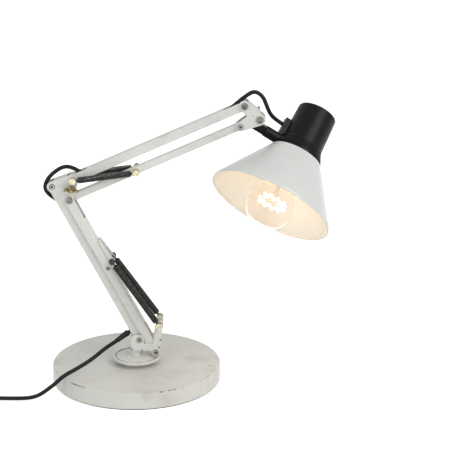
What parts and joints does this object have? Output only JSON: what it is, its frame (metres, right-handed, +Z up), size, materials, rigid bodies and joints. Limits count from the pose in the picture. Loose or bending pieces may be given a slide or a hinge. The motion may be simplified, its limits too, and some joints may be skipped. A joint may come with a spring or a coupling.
{
  "type": "adjustable desk lamp",
  "caption": "Spring balanced desk lamp with hinged parallelogram arms on a heavy round swivel base, a conical metal shade that tilts and turns on its stem, and a mains cord.",
  "frame": {"origin": "centre of the base's underside", "axes": "+Z up from the table, +X from the base towards the lamp's head, +Y away from the viewer of the picture; the arms lie in the XZ plane"},
  "size_m": [0.5125, 0.214, 0.3741],
  "materials": {
    "white_paint": "worn satin paint",
    "cast_iron": "rough",
    "felt": "matte",
    "nylon": "matte",
    "steel": "worn",
    "dark_screw": "darkened",
    "spring_black": "blackened",
    "brass": "dull",
    "black_plastic": "matte",
    "holder_plastic": "matte",
    "bulb_metal": "satin",
    "bulb_glass": "clear",
    "bulb_inside": "clear",
    "cable_black": "satin",
    "rubber": "matte",
    "tie": "matte"
  },
  "bodies": {
    "base": {"base_pad": "felt", "base_cover": "white_paint", "base_weight": "cast_iron", "thrust_washer": "nylon", "swivel_spindle": "steel", "spindle_nut": "steel", "mains_lead": "cable_black", "mains_coil": "cable_black", "coil_tie": "tie", "plug_body": "black_plastic", "plug_pins": "bulb_metal"},
    "swivel": {"swivel_disc": "white_paint", "swivel_post": "white_paint", "base_bracket": "white_paint", "lower_pivot_rivet": "steel", "channel_pivot_screw": "dark_screw", "lower_spring_studs": "steel", "lower_spools": "brass", "lower_spring_front": "spring_black", "lower_spring_rear": "spring_black", "lead_exit": "cable_black"},
    "lower_tube": {"lower_tube": "white_paint", "lower_cable_run": "cable_black", "lead_grommet": "rubber"},
    "lower_channel": {"lower_channel": "white_paint", "spring_saddle": "white_paint", "spring_roller": "steel", "saddle_rivets": "steel"},
    "elbow": {"elbow_bracket": "white_paint", "elbow_rivet": "steel", "channel_top_screw": "dark_screw", "upper_pivot_pin": "steel", "elbow_spools": "brass", "elbow_clamp_bolt": "steel", "upper_spring_front": "spring_black", "upper_spring_rear": "spring_black", "elbow_loop": "cable_black"},
    "elbow_nut": {"elbow_wing_nut": "brass"},
    "upper_tube": {"upper_tube": "white_paint", "upper_cable_run": "cable_black"},
    "upper_link": {"upper_link": "white_paint", "link_spring_pin": "steel", "link_spools": "brass"},
    "head_bracket": {"head_bracket": "white_paint", "head_pivot_screw": "dark_screw", "link_end_rivet": "steel", "tilt_bolt": "dark_screw", "head_loop": "cable_black"},
    "head_nut": {"head_wing_nut": "brass"},
    "knuckle": {"head_knuckle": "black_plastic"},
    "head": {"head_collar": "black_plastic", "head_cap": "black_plastic", "shade": "white_paint", "lampholder": "holder_plastic", "holder_rings": "black_plastic", "bulb_cap": "bulb_metal", "bulb_glass": "bulb_glass", "bulb_mount": "bulb_inside"},
    "switch": {"switch_button": "black_plastic"}
  },
  "joints": [
    {"name": "base_swivel", "type": "hinge", "parent": "base", "child": "swivel", "pos_m": [0, 0, 0.0281], "axis": [0, 0, 1], "range_deg": [-170, 170], "deforming": ["mains_lead", "lead_exit"]},
    {"name": "lower_arm", "type": "hinge", "parent": "swivel", "child": "lower_tube", "pos_m": [0.004, 0, 0.0548], "axis": [0, 1, 0], "range_deg": [-2, 50], "deforming": ["lower_spring_front", "lower_spring_rear", "lead_exit", "elbow_loop"]},
    {"name": "channel_swing", "type": "hinge", "parent": "swivel", "child": "lower_channel", "pos_m": [0.0246, 0, 0.0383], "axis": [0, 1, 0], "range_deg": [-2, 50]},
    {"name": "elbow_carry", "type": "hinge", "parent": "lower_tube", "child": "elbow", "pos_m": [-0.10006, 0, 0.25384], "axis": [0, 1, 0], "range_deg": [-50, 2]},
    {"name": "elbow_nut_turn", "type": "hinge", "parent": "elbow", "child": "elbow_nut", "pos_m": [-0.07671, -0.01, 0.25153], "axis": [0, -1, 0], "range_deg": [-45, 45]},
    {"name": "upper_arm", "type": "hinge", "parent": "elbow", "child": "upper_tube", "pos_m": [-0.07446, 0, 0.26314], "axis": [0, -1, 0], "range_deg": [-28, 20], "deforming": ["upper_spring_front", "upper_spring_rear", "elbow_loop", "head_loop"]},
    {"name": "link_swing", "type": "hinge", "parent": "elbow", "child": "upper_link", "pos_m": [-0.07946, 0, 0.23734], "axis": [0, -1, 0], "range_deg": [-28, 20]},
    {"name": "head_carry", "type": "hinge", "parent": "upper_tube", "child": "head_bracket", "pos_m": [0.13489, 0, 0.35547], "axis": [0, -1, 0], "range_deg": [-20, 28]},
    {"name": "head_nut_turn", "type": "hinge", "parent": "head_bracket", "child": "head_nut", "pos_m": [0.15359, 0.01, 0.33847], "axis": [0, 1, 0], "range_deg": [-45, 45]},
    {"name": "head_tilt", "type": "hinge", "parent": "head_bracket", "child": "knuckle", "pos_m": [0.15359, 0, 0.33847], "axis": [0, -1, 0], "range_deg": [-5, 45], "deforming": ["head_loop"]},
    {"name": "head_roll", "type": "hinge", "parent": "knuckle", "child": "head", "pos_m": [0.14855, 0, 0.33042], "axis": [0.848, 0, -0.5299], "range_deg": [-94, 40], "deforming": ["head_loop"]},
    {"name": "switch_press", "type": "slide", "parent": "head", "child": "switch", "axis": [-0.4393, -0.5592, -0.7031], "range_m": [0, 0.0025], "stiffness_N_per_m": 400, "springref_m": -0.001}
  ],
  "couplings": [
    {"joint": "channel_swing", "follows": "lower_arm", "ratio": 1},
    {"joint": "elbow_carry", "follows": "lower_arm", "ratio": -1},
    {"joint": "link_swing", "follows": "upper_arm", "ratio": 1},
    {"joint": "head_carry", "follows": "upper_arm", "ratio": -1}
  ]
}
